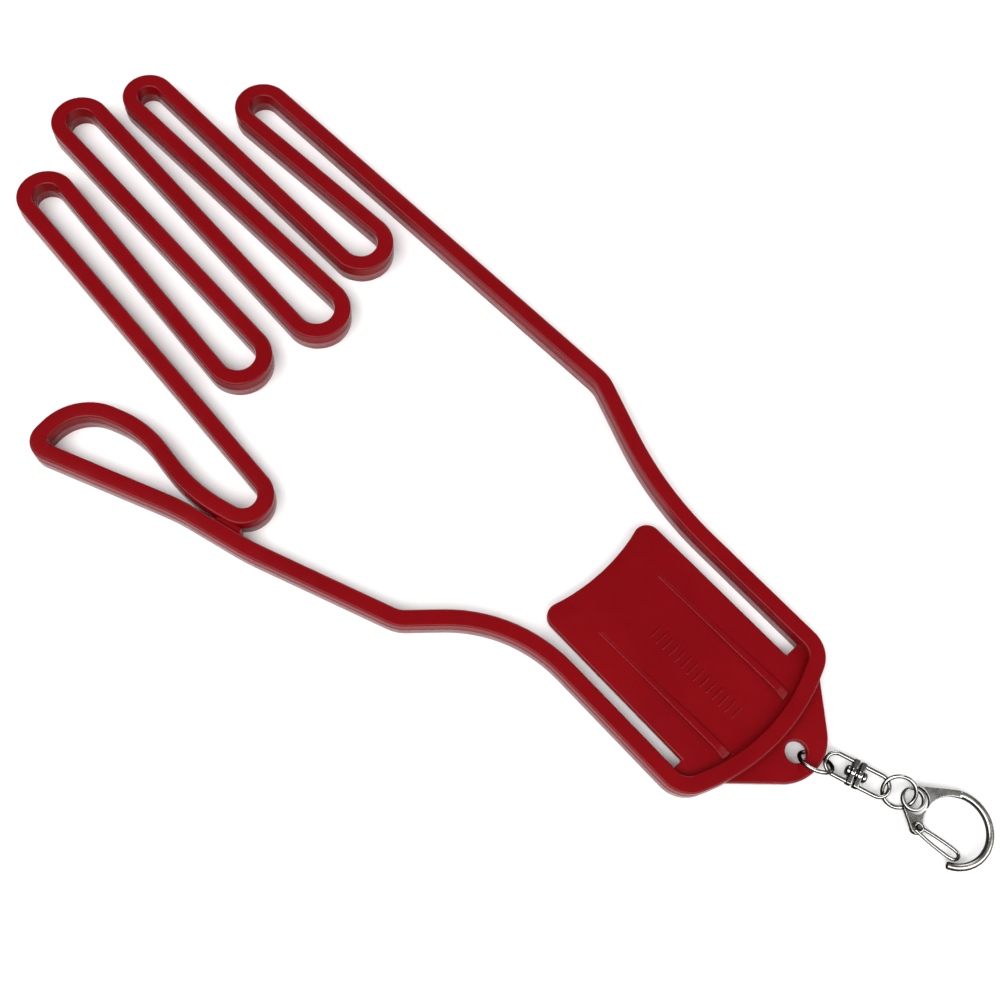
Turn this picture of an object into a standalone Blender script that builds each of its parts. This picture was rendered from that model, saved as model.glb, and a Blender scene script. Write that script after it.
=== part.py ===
"""Hand-shaped glove stretcher: a moulded plastic hand outline with a spring clip and a key chain.

The outline is one closed loop of a tall, round-edged bar. It lies flat on Z = 0 with its
fingers towards +Y. The origin is on the wrist bar's underside, at the middle of the wrist.
"""
import math

import bmesh
import bpy
from mathutils import Euler, Matrix, Vector

MM = 0.001

# Moulded bar and plates
BAR_WIDTH = 4.3 * MM
BAR_HEIGHT = 6.5 * MM
BAR_CHAMFER = 0.5 * MM
PLATE_THICKNESS = 2.0 * MM
PLATE_MID_Z = BAR_HEIGHT / 2
PLATE_EDGE = 0.45 * MM
FIT_GAP = 0.3 * MM

# The bar's centreline turns round these circles in order: x, y, radius in millimetres,
# and LEFT or RIGHT for the side that the bar turns to. Straight bars join them.
LEFT = 1
RIGHT = -1
WRIST_RADIUS = 49.9 * MM
SIDE_X = 24.2 * MM
HAND_TURNS = [
    ("wrist_arc", 0.0, 49.9, 49.9, LEFT),
    ("wrist_corner_right", 18.2, 9.9, 6.0, LEFT),
    ("wrist_flare_right", 119.2, 43.2, 95.0, RIGHT),
    ("palm_bend_right", 25.8, 93.4, 10.0, LEFT),
    ("little_tip", 24.85, 214.0, 5.6, LEFT),
    ("ring_little_valley", 16.5, 163.6, 6.5, RIGHT),
    ("ring_tip", 3.6, 237.1, 5.0, LEFT),
    ("middle_ring_valley", -5.2, 156.1, 6.7, RIGHT),
    ("middle_tip", -15.35, 242.3, 5.8, LEFT),
    ("index_middle_valley", -28.8, 158.9, 6.5, RIGHT),
    ("index_tip", -36.5, 229.0, 5.6, LEFT),
    ("thumb_valley", -52.2, 128.3, 5.45, RIGHT),
    ("thumb_waist", -16.75, 142.4, 43.5, RIGHT),
    ("thumb_side", -86.5, 154.0, 27.0, LEFT),
    ("thumb_back", -74.0, 162.1, 12.3, LEFT),
    ("thumb_tip", -77.3, 170.6, 3.4, LEFT),
    ("thumb_root_upper", -122.2, 115.6, 60.0, RIGHT),
    ("thumb_root_lower", -3.4, 136.8, 60.0, LEFT),
    ("palm_bend_left", -38.5, 84.6, 8.0, LEFT),
    ("wrist_flare_left", -62.2, 44.2, 38.0, RIGHT),
    ("wrist_corner_left", -18.2, 9.9, 6.0, LEFT),
]
ARC_STEP = math.radians(18)
ARC_CHORD = 5.5 * MM

# Web beside the clip, and the short bridge that ties the thumb valley to the thumb bar
SLOT_END_Y = 10.7 * MM
WEB_CORNER = (22.0 * MM, 5.3 * MM)
WEB_SHOULDER_Y = 8.7 * MM
BRIDGE_CENTRE = (-60.3 * MM, 124.9 * MM)
BRIDGE_SIZE = (3.6 * MM, 5.0 * MM, 4.9 * MM)
BRIDGE_ANGLE = math.radians(22)

# Tab with the key ring hole
TAB_APEX = (3.2 * MM, -17.6 * MM)
TAB_LEFT = (-17.0 * MM, 1.74 * MM)
TAB_RIGHT = (20.8 * MM, 2.8 * MM)
TAB_NOSE_RADIUS = 11.6 * MM
TAB_ROOT_ANGLE = math.radians(19)
HOLE_CENTRE = (2.2 * MM, -6.3 * MM)
HOLE_RADIUS = 2.6 * MM

# Spring clip
CLIP_CENTRE_X = -0.6 * MM
CLIP_HALF_WIDTH = 18.4 * MM
CLIP_ROOT_HALF_WIDTH = 14.7 * MM
CLIP_END_Y = 55.7 * MM
CLIP_END_RADIUS = 54.0 * MM
CLIP_CORNER = 3.5 * MM
CLIP_FLEX_Y = 3.4 * MM
RIB_EDGES_X = (-11.9 * MM, 8.9 * MM)
RIB_TIP_WIDTH = 0.8 * MM
RIB_ROOT_WIDTH = 2.4 * MM
RIB_TIP_HEIGHT = 0.1 * MM
RIB_HEIGHT = 1.1 * MM
RIB_TIP_Y = 45.5 * MM
RIB_CREST_Y = 7.8 * MM
RIB_ROOT_Y = 4.5 * MM
RIB_SUNK = 0.5 * MM

# Key chain: headings are measured from +X, anticlockwise seen from above
TAB_RING_CENTRE = (4.0 * MM, -11.1 * MM, 3.56 * MM)
TAB_RING_HEADING = math.radians(-63.0)
TAB_RING_ROLL = math.radians(-49.2)
TAB_RING_RADIUS = 4.05 * MM
TAB_RING_WIRE = 0.5 * MM

CHAIN_HEADING = math.radians(-70.7)
SWIVEL_START = (7.1 * MM, -13.35 * MM, 2.5 * MM)
LINK_HALF_WIDTH = 2.65 * MM
LINK_WIRE = 0.5 * MM
NEAR_LOOP = 1.6 * MM
NEAR_BAR = 5.65 * MM
FAR_BAR = 7.4 * MM
FAR_LOOP = 12.2 * MM
LINK_BAR_THICKNESS = 1.3 * MM
LINK_BAR_HEIGHT = 2.1 * MM
LINK_BAR_OVERHANG = 0.05 * MM
LINK_BAR_EDGE = 0.25 * MM
RIVET_RADIUS = 0.6 * MM
RIVET_HOLE_RADIUS = 0.69 * MM
RIVET_HEAD_RADIUS = 1.25 * MM
RIVET_HEAD_LENGTH = 1.1 * MM
RIVET_GAP = 0.12 * MM
RIVET_DOME = 0.6
COLLAR_RADIUS = 1.3 * MM
LINK_BOSS_RADIUS = 1.45 * MM

HOOK_RING_CENTRE = (13.6 * MM, -29.2 * MM, 2.63 * MM)
HOOK_RING_HEADING = math.radians(-64.8)
HOOK_RING_ROLL = math.radians(33.8)
HOOK_RING_RADIUS = 3.85 * MM
HOOK_RING_WIRE = 0.47 * MM

# Snap hook: an open round bow, a flat shank with an eye, and a wire gate
HOOK_MID_Z = 2.45 * MM
BOW_CENTRE = (16.55 * MM, -43.7 * MM)
BOW_RADIUS = 8.4 * MM
BOW_WIRE = 0.9 * MM
BOW_START = math.radians(28)
BOW_END = math.radians(207 - 360)
BOW_OVERLAP = math.radians(12)
SHANK_THICKNESS = 1.3 * MM
SHANK_EDGE = 0.2 * MM
SHANK_OUTER = 9.2 * MM
SHANK_INNER = 7.55 * MM
SHANK_INNER_START = math.radians(142)
EYE_CENTRE = (14.9 * MM, -32.95 * MM)
EYE_RADIUS = 3.3 * MM
EYE_HOLE = (14.9 * MM, -32.6 * MM)
EYE_HOLE_RADIUS = 2.15 * MM
BOSS_CENTRE = (10.35 * MM, -37.4 * MM)
BOSS_RADIUS = 1.5 * MM
POST_RADIUS = 0.45 * MM
POST_HALF_HEIGHT = 2.0 * MM
GATE_WIRE = 0.4 * MM
GATE_LEVEL = 1.25 * MM
GATE_EYE_RADIUS = 0.95 * MM
GATE_EYE_TURN = math.radians(300)
# The gate's legs from the upper eye to the lower one: x, y in millimetres, and height as a
# share of the gate's level. The cross bend lies inside the bow's tip.
GATE_LEGS = [
    (9.65, -39.0, 1.0), (10.25, -46.5, 1.0), (10.95, -47.7, 0.75), (11.95, -48.2, 0.2),
    (12.85, -48.3, -0.45), (13.45, -47.5, -0.9), (13.25, -45.3, -1.0), (12.25, -39.1, -1.0),
]

DRILL_LENGTH = 2.5 * MM
PLASTIC_SEGMENTS = 2
WIRE_SIDES = 8
BOW_SIDES = 10
RING_STEPS = 32
POINT_SPACING = 0.4 * MM
SMOOTH_ANGLE = math.radians(35)
BEVEL_ANGLE = math.radians(50)


def clear_scene():
    for item in list(bpy.data.objects):
        bpy.data.objects.remove(item, do_unlink=True)


def make_material(name, colour, roughness, metallic):
    material = bpy.data.materials.new(name)
    material.use_nodes = True
    shader = material.node_tree.nodes["Principled BSDF"]
    shader.inputs["Base Color"].default_value = (*colour, 1.0)
    shader.inputs["Roughness"].default_value = roughness
    shader.inputs["Metallic"].default_value = metallic
    return material


def add_object(name, mesh_data, material, place=None):
    """Make an object from a bmesh given in world metres. place is its own frame."""
    place = place or Matrix.Identity(4)
    bmesh.ops.recalc_face_normals(mesh_data, faces=mesh_data.faces)
    mesh = bpy.data.meshes.new(name)
    mesh_data.to_mesh(mesh)
    mesh_data.free()
    mesh.transform(place.inverted())
    mesh.materials.append(material)
    mesh.shade_smooth()
    mesh.set_sharp_from_angle(angle=SMOOTH_ANGLE)
    item = bpy.data.objects.new(name, mesh)
    item.matrix_world = place
    bpy.context.scene.collection.objects.link(item)
    return item


def hide_tool(item):
    item.hide_render = True
    item.display_type = "WIRE"


def add_boolean(item, tool, operation):
    hide_tool(tool)
    modifier = item.modifiers.new(operation.lower(), "BOOLEAN")
    modifier.operation = operation
    modifier.solver = "EXACT"
    modifier.object = tool


def add_bevel(item, width, segments):
    modifier = item.modifiers.new("edges", "BEVEL")
    modifier.width = width
    modifier.segments = segments
    modifier.limit_method = "ANGLE"
    modifier.angle_limit = BEVEL_ANGLE


def arc_points(centre, radius, start, end, step):
    """Points on a circle from angle start to angle end, both ends included."""
    count = max(1, math.ceil(abs(end - start) / step))
    angles = [start + (end - start) * i / count for i in range(count + 1)]
    return [centre + radius * Vector((math.cos(a), math.sin(a))) for a in angles]


def tangent_heading(first, second):
    """Heading of the straight bar that leaves one turning circle and meets the next."""
    gap = second[0] - first[0]
    offset = second[2] * second[1] - first[2] * first[1]
    return math.atan2(gap.y, gap.x) - math.asin(offset / gap.length)


def belt_outline(turns):
    """Closed outline that runs straight between circles and turns round each of them.

    Each turn is (centre, radius, side), with side LEFT or RIGHT.
    """
    points = []
    count = len(turns)
    headings = [tangent_heading(turns[i], turns[(i + 1) % count]) for i in range(count)]
    for i, (centre, radius, side) in enumerate(turns):
        start = headings[i - 1] - side * math.pi / 2
        sweep = (headings[i] - headings[i - 1]) * side % (2 * math.pi)
        step = max(min(ARC_STEP, ARC_CHORD / radius), math.radians(4))
        points += arc_points(centre, radius, start, start + side * sweep, step)
    return points


def hand_turns():
    return [(Vector((x, y)) * MM, r * MM, side) for _, x, y, r, side in HAND_TURNS]


def bar_section():
    """Tall rectangle with cut corners: offsets across the bar and heights."""
    half = BAR_WIDTH / 2
    inset = half - BAR_CHAMFER
    return [
        (-half, BAR_CHAMFER), (-half, BAR_HEIGHT - BAR_CHAMFER),
        (-inset, BAR_HEIGHT), (inset, BAR_HEIGHT),
        (half, BAR_HEIGHT - BAR_CHAMFER), (half, BAR_CHAMFER),
        (inset, 0.0), (-inset, 0.0),
    ]


def side_vector(before, here, after):
    """Unit normal to the left of a path, stretched so that a mitred bar keeps its width."""
    incoming = (here - before).normalized()
    outgoing = (after - here).normalized()
    normal_in = Vector((-incoming.y, incoming.x))
    normal_out = Vector((-outgoing.y, outgoing.x))
    middle = (normal_in + normal_out).normalized()
    return middle / max(0.7, middle.dot(normal_in))


def sweep_flat_loop(path, section):
    """Sweep an upright section round a closed flat path."""
    work = bmesh.new()
    rings = []
    count = len(path)
    for i, here in enumerate(path):
        side = side_vector(path[i - 1], here, path[(i + 1) % count])
        rings.append([work.verts.new((*(here + side * u), z)) for u, z in section])
    size = len(section)
    for i in range(count):
        near = rings[i]
        far = rings[(i + 1) % count]
        for j in range(size):
            work.faces.new((near[j], near[(j + 1) % size], far[(j + 1) % size], far[j]))
    return work


def drop_close_points(path, spacing):
    kept = []
    for point in path:
        if not kept or (point - kept[-1]).length > spacing:
            kept.append(point)
    if (kept[0] - kept[-1]).length <= spacing:
        kept.pop()
    return kept


def prism(outline, low, high):
    """Upright solid on a flat outline."""
    work = bmesh.new()
    base = [work.verts.new((p[0], p[1], low)) for p in outline]
    face = work.faces.new(base)
    lifted = bmesh.ops.extrude_face_region(work, geom=[face])["geom"]
    top = [item for item in lifted if isinstance(item, bmesh.types.BMVert)]
    bmesh.ops.translate(work, verts=top, vec=(0, 0, high - low))
    return work


def box(size, place):
    work = bmesh.new()
    scale = Matrix.Diagonal((*size, 1.0))
    bmesh.ops.create_cube(work, size=1.0, matrix=place @ scale)
    return work


def cylinder(radius, length, place, steps=24):
    work = bmesh.new()
    bmesh.ops.create_cone(
        work, cap_ends=True, segments=steps, radius1=radius, radius2=radius,
        depth=length, matrix=place)
    return work


def tube(path, radius, closed, sides=WIRE_SIDES):
    """Round wire along a path of 3D points."""
    work = bmesh.new()
    count = len(path)
    rings = []
    normal = None
    for i, here in enumerate(path):
        before = path[i - 1] if closed or i > 0 else here
        after = path[(i + 1) % count] if closed or i < count - 1 else here
        along = (after - before).normalized()
        if normal is None:
            normal = along.orthogonal().normalized()
        normal = (normal - along * normal.dot(along)).normalized()
        other = along.cross(normal)
        ring = []
        for j in range(sides):
            angle = 2 * math.pi * j / sides
            outward = math.cos(angle) * normal + math.sin(angle) * other
            ring.append(work.verts.new(here + radius * outward))
        rings.append(ring)
    for i in range(count if closed else count - 1):
        near = rings[i]
        far = rings[(i + 1) % count]
        for j in range(sides):
            work.faces.new((near[j], near[(j + 1) % sides], far[(j + 1) % sides], far[j]))
    if not closed:
        work.faces.new(rings[0])
        work.faces.new(rings[-1])
    return work


def ring_path(radius, steps):
    angles = [2 * math.pi * i / steps for i in range(steps)]
    return [Vector((radius * math.cos(a), radius * math.sin(a), 0)) for a in angles]


def turned(profile, steps=16):
    """Solid of revolution round X. The profile is (x, radius) from axis to axis."""
    work = bmesh.new()
    verts = [work.verts.new((x, r, 0)) for x, r in profile]
    edges = [work.edges.new((a, b)) for a, b in zip(verts, verts[1:])]
    bmesh.ops.spin(
        work, geom=verts + edges, cent=(0, 0, 0), axis=(1, 0, 0), angle=2 * math.pi,
        steps=steps, use_merge=True)
    bmesh.ops.remove_doubles(work, verts=work.verts, dist=0.00001)
    return work


def frame_at(position, heading, roll=0.0):
    """Frame with X along a heading, Y to its left, rolled about X."""
    turn = Euler((0, 0, heading)).to_matrix() @ Euler((roll, 0, 0)).to_matrix()
    return Matrix.Translation(position) @ turn.to_4x4()


def clip_arc(centre, radius, half_width, steps):
    """Points of an arc that bulges towards -Y, from left to right across the clip."""
    xs = [CLIP_CENTRE_X + half_width * (2 * i / steps - 1) for i in range(steps + 1)]
    return [Vector((x, centre.y - math.sqrt(radius**2 - (x - centre.x)**2))) for x in xs]


def round_corner(before, corner, after, radius, step=math.radians(15)):
    """Arc that rounds one corner of an outline."""
    inward = (before - corner).normalized()
    outward = (after - corner).normalized()
    half = inward.angle(outward) / 2
    centre = corner + (inward + outward).normalized() * radius / math.sin(half)
    first = corner + inward * radius / math.tan(half) - centre
    last = corner + outward * radius / math.tan(half) - centre
    start = math.atan2(first.y, first.x)
    sweep = (math.atan2(last.y, last.x) - start + math.pi) % (2 * math.pi) - math.pi
    return arc_points(centre, radius, start, start + sweep, step)


def tab_outline():
    left = Vector(TAB_LEFT)
    right = Vector(TAB_RIGHT)
    nose = round_corner(left, Vector(TAB_APEX), right, TAB_NOSE_RADIUS)
    down = -math.pi / 2
    root = arc_points(Vector((0.0, WRIST_RADIUS)), WRIST_RADIUS, down + TAB_ROOT_ANGLE,
                      down - TAB_ROOT_ANGLE, math.radians(6))
    return [left, *nose, right, *root]


def web_outline(side):
    """Corner plate between a side bar and the clip's root, up to the slot's end."""
    inner = CLIP_CENTRE_X + side * (CLIP_ROOT_HALF_WIDTH + FIT_GAP)
    outer = side * SIDE_X
    foot_y = WRIST_RADIUS - math.sqrt(WRIST_RADIUS**2 - inner**2)
    corner = Vector((side * WEB_CORNER[0], WEB_CORNER[1]))
    return [
        Vector((inner, SLOT_END_Y)), Vector((inner, foot_y)), corner,
        Vector((outer, WEB_SHOULDER_Y)), Vector((outer, SLOT_END_Y)),
    ]


def plate(name, outline, material):
    low = PLATE_MID_Z - PLATE_THICKNESS / 2
    return add_object(name, prism(outline, low, low + PLATE_THICKNESS), material)


def make_hand_frame(plastic):
    path = drop_close_points(belt_outline(hand_turns()), POINT_SPACING)
    hand = add_object("hand_frame", sweep_flat_loop(path, bar_section()), plastic)
    for name, side in (("web_left", -1), ("web_right", 1)):
        add_boolean(hand, plate(name, web_outline(side), plastic), "UNION")
    tab = plate("key_tab", tab_outline(), plastic)
    add_bevel(tab, PLATE_EDGE, PLASTIC_SEGMENTS)
    add_boolean(hand, tab, "UNION")
    place = frame_at((*BRIDGE_CENTRE, PLATE_MID_Z), BRIDGE_ANGLE)
    add_boolean(hand, add_object("thumb_bridge", box(BRIDGE_SIZE, place), plastic), "UNION")
    drill_place = Matrix.Translation((*HOLE_CENTRE, PLATE_MID_Z))
    drill = add_object("key_hole", cylinder(HOLE_RADIUS, 2 * BAR_HEIGHT, drill_place), plastic)
    add_boolean(hand, drill, "DIFFERENCE")


def clip_outline():
    """Clip plate: narrow root beside the wrist bar, wide blade, hollow free end."""
    wrist_edge = WRIST_RADIUS - BAR_WIDTH / 2 - FIT_GAP
    root = clip_arc(Vector((0.0, WRIST_RADIUS)), wrist_edge, CLIP_ROOT_HALF_WIDTH, 10)
    end_centre = Vector((CLIP_CENTRE_X, CLIP_END_Y + CLIP_END_RADIUS))
    end = clip_arc(end_centre, CLIP_END_RADIUS, CLIP_HALF_WIDTH, 12)[::-1]
    shoulder_y = SLOT_END_Y + FIT_GAP
    root_left = CLIP_CENTRE_X - CLIP_ROOT_HALF_WIDTH
    root_right = CLIP_CENTRE_X + CLIP_ROOT_HALF_WIDTH
    left = CLIP_CENTRE_X - CLIP_HALF_WIDTH
    right = CLIP_CENTRE_X + CLIP_HALF_WIDTH
    right_end = round_corner(Vector((right, shoulder_y)), end[0], end[3], CLIP_CORNER)
    left_end = round_corner(end[-4], end[-1], Vector((left, shoulder_y)), CLIP_CORNER)
    blade = [*right_end, *end[3:-3], *left_end]
    return [
        *root, Vector((root_right, shoulder_y)), Vector((right, shoulder_y)), *blade,
        Vector((left, shoulder_y)), Vector((root_left, shoulder_y)),
    ]


def rib(left):
    """Stiffening rib with one straight side. It grows wider and taller towards the wrist bar,
    then ramps down beside it."""
    top = PLATE_MID_Z + PLATE_THICKNESS / 2
    stations = [
        (RIB_TIP_Y, RIB_TIP_WIDTH, RIB_TIP_HEIGHT), (RIB_CREST_Y, RIB_ROOT_WIDTH, RIB_HEIGHT),
        (RIB_ROOT_Y, RIB_ROOT_WIDTH, RIB_HEIGHT / 2),
    ]
    work = bmesh.new()
    for y, width, height in stations:
        for x in (left, left + width):
            work.verts.new((x, y, top - RIB_SUNK))
            work.verts.new((x, y, top + height))
    bmesh.ops.convex_hull(work, input=work.verts)
    return work


def make_clip(plastic):
    low = PLATE_MID_Z - PLATE_THICKNESS / 2
    place = Matrix.Translation((CLIP_CENTRE_X, CLIP_FLEX_Y, PLATE_MID_Z))
    blade = prism(clip_outline(), low, low + PLATE_THICKNESS)
    clip = add_object("clip_tongue", blade, plastic, place)
    add_bevel(clip, PLATE_EDGE, PLASTIC_SEGMENTS)
    for name, left in zip(("rib_left", "rib_right"), RIB_EDGES_X):
        add_boolean(clip, add_object(name, rib(left), plastic), "UNION")


def tab_ring_frame():
    """The ring's own frame: X points to its far end, Z along its axis."""
    return frame_at(TAB_RING_CENTRE, TAB_RING_HEADING, TAB_RING_ROLL)


def swivel_frame():
    return frame_at(SWIVEL_START, CHAIN_HEADING)


def hook_ring_frame():
    return frame_at(HOOK_RING_CENTRE, HOOK_RING_HEADING, HOOK_RING_ROLL)


def tab_ring_contact():
    """Where the tab ring's wire passes through the swivel's level, inside the near link."""
    drop = SWIVEL_START[2] - TAB_RING_CENTRE[2]
    angle = math.asin(drop / (TAB_RING_RADIUS * math.sin(TAB_RING_ROLL)))
    around = Vector((math.cos(angle), math.sin(angle), 0))
    return tab_ring_frame() @ (TAB_RING_RADIUS * around)


def far_loop_end():
    return swivel_frame() @ Vector((FAR_LOOP + LINK_HALF_WIDTH, 0, 0))


def hook_ring_end():
    return hook_ring_frame() @ Vector((HOOK_RING_RADIUS, 0, 0))


def make_ring(name, radius, wire, frame, pivot, metal):
    """Closed wire ring in its own frame. pivot is the point on its joint's axis."""
    work = tube(ring_path(radius, RING_STEPS), wire, closed=True)
    work.transform(frame)
    add_object(name, work, metal, Matrix.Translation(pivot))


def link_path(loop_centre, bar, away):
    """U-shaped wire in the swivel's own frame. away is -1 for the loop behind the bar."""
    top = math.pi / 2
    arc = arc_points(Vector((loop_centre, 0)), LINK_HALF_WIDTH, top, top - away * math.pi,
                     math.radians(18))
    flat = [Vector((bar, LINK_HALF_WIDTH)), *arc, Vector((bar, -LINK_HALF_WIDTH))]
    return [Vector((p.x, p.y, 0)) for p in flat]


def make_link(name, loop_centre, bar, away, pivot, metal):
    """U of wire whose ends meet in a bar that is drilled for the rivet."""
    frame = swivel_frame()
    wire = tube(link_path(loop_centre, bar, away), LINK_WIRE, closed=False)
    wire.transform(frame)
    link = add_object(name, wire, metal, Matrix.Translation(pivot))
    width = 2 * (LINK_HALF_WIDTH + LINK_WIRE + LINK_BAR_OVERHANG)
    bar_frame = frame @ Matrix.Translation((bar, 0, 0))
    bar_mesh = box((LINK_BAR_THICKNESS, width, LINK_BAR_HEIGHT), bar_frame)
    bar_item = add_object(name + "_bar", bar_mesh, metal)
    add_bevel(bar_item, LINK_BAR_EDGE, 1)
    add_boolean(link, bar_item, "UNION")
    across = bar_frame @ Matrix.Rotation(math.pi / 2, 4, "Y")
    boss = cylinder(LINK_BOSS_RADIUS, LINK_BAR_THICKNESS, across, 16)
    add_boolean(link, add_object(name + "_boss", boss, metal), "UNION")
    drill = cylinder(RIVET_HOLE_RADIUS, 2 * DRILL_LENGTH, across, 16)
    add_boolean(link, add_object(name + "_hole", drill, metal), "DIFFERENCE")


def rivet_head(end, outward):
    """Profile of one domed head from its rim to the rivet's axis. outward is +1 or -1."""
    tip = end + outward * RIVET_HEAD_LENGTH
    middle = end + outward * RIVET_HEAD_LENGTH / 2
    return [
        (end, RIVET_HEAD_RADIUS), (middle, RIVET_HEAD_RADIUS),
        (tip, RIVET_DOME * RIVET_HEAD_RADIUS), (tip, 0),
    ]


def make_rivet(pivot, metal):
    """Rivet with a domed head outside each bar and a collar between the bars."""
    half = LINK_BAR_THICKNESS / 2
    near = NEAR_BAR - half - RIVET_GAP
    far = FAR_BAR + half + RIVET_GAP
    collar_near = NEAR_BAR + half + RIVET_GAP
    collar_far = FAR_BAR - half - RIVET_GAP
    profile = [
        *reversed(rivet_head(near, -1)), (near, RIVET_RADIUS),
        (collar_near, RIVET_RADIUS), (collar_near, COLLAR_RADIUS),
        (collar_far, COLLAR_RADIUS), (collar_far, RIVET_RADIUS),
        (far, RIVET_RADIUS), *rivet_head(far, 1),
    ]
    work = turned(profile)
    work.transform(swivel_frame())
    add_object("swivel_rivet", work, metal, Matrix.Translation(pivot))


def hook_point(centre, height=0.0):
    return Vector((*centre, HOOK_MID_Z + height))


def shank_outline():
    """Flat shank: round the eye and the gate boss, then back along the bow's inside."""
    bow = Vector(BOW_CENTRE)
    eye = (Vector(EYE_CENTRE), EYE_RADIUS, LEFT)
    boss = (Vector(BOSS_CENTRE), BOSS_RADIUS, LEFT)
    rim = (bow, SHANK_OUTER, LEFT)
    leave_rim = tangent_heading(rim, eye)
    leave_eye = tangent_heading(eye, boss)
    quarter = math.pi / 2
    fine = math.radians(10)
    coarse = math.radians(18)
    outer = arc_points(bow, SHANK_OUTER, BOW_START, leave_rim - quarter, fine)
    top = arc_points(eye[0], EYE_RADIUS, leave_rim - quarter, leave_eye - quarter, coarse)
    foot = arc_points(boss[0], BOSS_RADIUS, leave_eye - quarter, leave_eye + 1.5 * quarter, coarse)
    inner = arc_points(bow, SHANK_INNER, SHANK_INNER_START, BOW_START, fine)
    return [*outer, *top, *foot, *inner]


def make_hook_body(metal):
    start = BOW_START + BOW_OVERLAP
    sweep = arc_points(Vector(BOW_CENTRE), BOW_RADIUS, start, BOW_END, math.radians(8))
    bow = tube([hook_point(p) for p in sweep], BOW_WIRE, closed=False, sides=BOW_SIDES)
    body = add_object("hook_body", bow, metal, Matrix.Translation(hook_ring_end()))
    half = SHANK_THICKNESS / 2
    plate_mesh = prism(shank_outline(), HOOK_MID_Z - half, HOOK_MID_Z + half)
    shank = add_object("hook_shank", plate_mesh, metal)
    add_bevel(shank, SHANK_EDGE, 1)
    add_boolean(body, shank, "UNION")
    boss_place = Matrix.Translation(hook_point(BOSS_CENTRE))
    post = cylinder(POST_RADIUS, 2 * POST_HALF_HEIGHT, boss_place, 12)
    add_boolean(body, add_object("gate_post", post, metal), "UNION")
    eye_place = Matrix.Translation(hook_point(EYE_HOLE))
    eye = cylinder(EYE_HOLE_RADIUS, 2 * DRILL_LENGTH, eye_place, 20)
    add_boolean(body, add_object("hook_eye", eye, metal), "DIFFERENCE")


def gate_path():
    """Wire gate: an eye round the post above the shank, two legs, an eye below."""
    post = Vector(BOSS_CENTRE)
    step = math.radians(24)
    upper = arc_points(post, GATE_EYE_RADIUS, math.pi + GATE_EYE_TURN, math.pi, step)
    lower = arc_points(post, GATE_EYE_RADIUS, 0.0, -GATE_EYE_TURN, step)
    high = [hook_point(p, GATE_LEVEL) for p in upper]
    low = [hook_point(p, -GATE_LEVEL) for p in lower]
    middle = [hook_point((x * MM, y * MM), GATE_LEVEL * level) for x, y, level in GATE_LEGS]
    return [*high, *middle, *low]


def make_gate(metal):
    wire = tube(gate_path(), GATE_WIRE, closed=False)
    add_object("hook_gate", wire, metal, Matrix.Translation(hook_point(BOSS_CENTRE)))


def main():
    clear_scene()
    plastic = make_material("red_plastic", (0.25, 0.003, 0.007), 0.22, 0.0)
    nickel = make_material("nickel", (0.50, 0.48, 0.45), 0.18, 1.0)
    make_hand_frame(plastic)
    make_clip(plastic)
    make_ring("tab_ring", TAB_RING_RADIUS, TAB_RING_WIRE, tab_ring_frame(), TAB_RING_CENTRE, nickel)
    make_link("swivel_link_tab_side", NEAR_LOOP, NEAR_BAR, -1, tab_ring_contact(), nickel)
    make_rivet(tab_ring_contact(), nickel)
    make_link("swivel_link_hook_side", FAR_LOOP, FAR_BAR, 1, SWIVEL_START, nickel)
    make_ring("hook_ring", HOOK_RING_RADIUS, HOOK_RING_WIRE, hook_ring_frame(), far_loop_end(), nickel)
    make_hook_body(nickel)
    make_gate(nickel)


main()
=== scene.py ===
"""Looks for the glove stretcher: a red plastic hand outline with a clip and a nickel key chain."""
import math

import bmesh
import bpy
from mathutils import Euler, Matrix, Vector


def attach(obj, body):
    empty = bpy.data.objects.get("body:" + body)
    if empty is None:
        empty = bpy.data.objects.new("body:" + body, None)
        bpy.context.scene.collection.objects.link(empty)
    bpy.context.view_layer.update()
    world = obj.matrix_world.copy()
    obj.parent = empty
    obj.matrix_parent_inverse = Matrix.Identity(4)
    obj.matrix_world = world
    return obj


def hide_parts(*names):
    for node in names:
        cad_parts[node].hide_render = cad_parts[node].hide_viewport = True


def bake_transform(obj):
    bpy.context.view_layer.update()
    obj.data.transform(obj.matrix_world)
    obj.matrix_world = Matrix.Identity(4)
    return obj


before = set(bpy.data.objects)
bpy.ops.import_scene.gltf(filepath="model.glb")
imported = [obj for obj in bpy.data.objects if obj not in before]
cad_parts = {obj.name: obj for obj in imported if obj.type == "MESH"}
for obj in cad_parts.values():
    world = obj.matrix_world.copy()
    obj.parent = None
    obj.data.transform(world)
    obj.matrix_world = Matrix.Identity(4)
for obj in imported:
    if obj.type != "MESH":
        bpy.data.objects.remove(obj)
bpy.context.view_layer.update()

MM = 0.001

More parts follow.
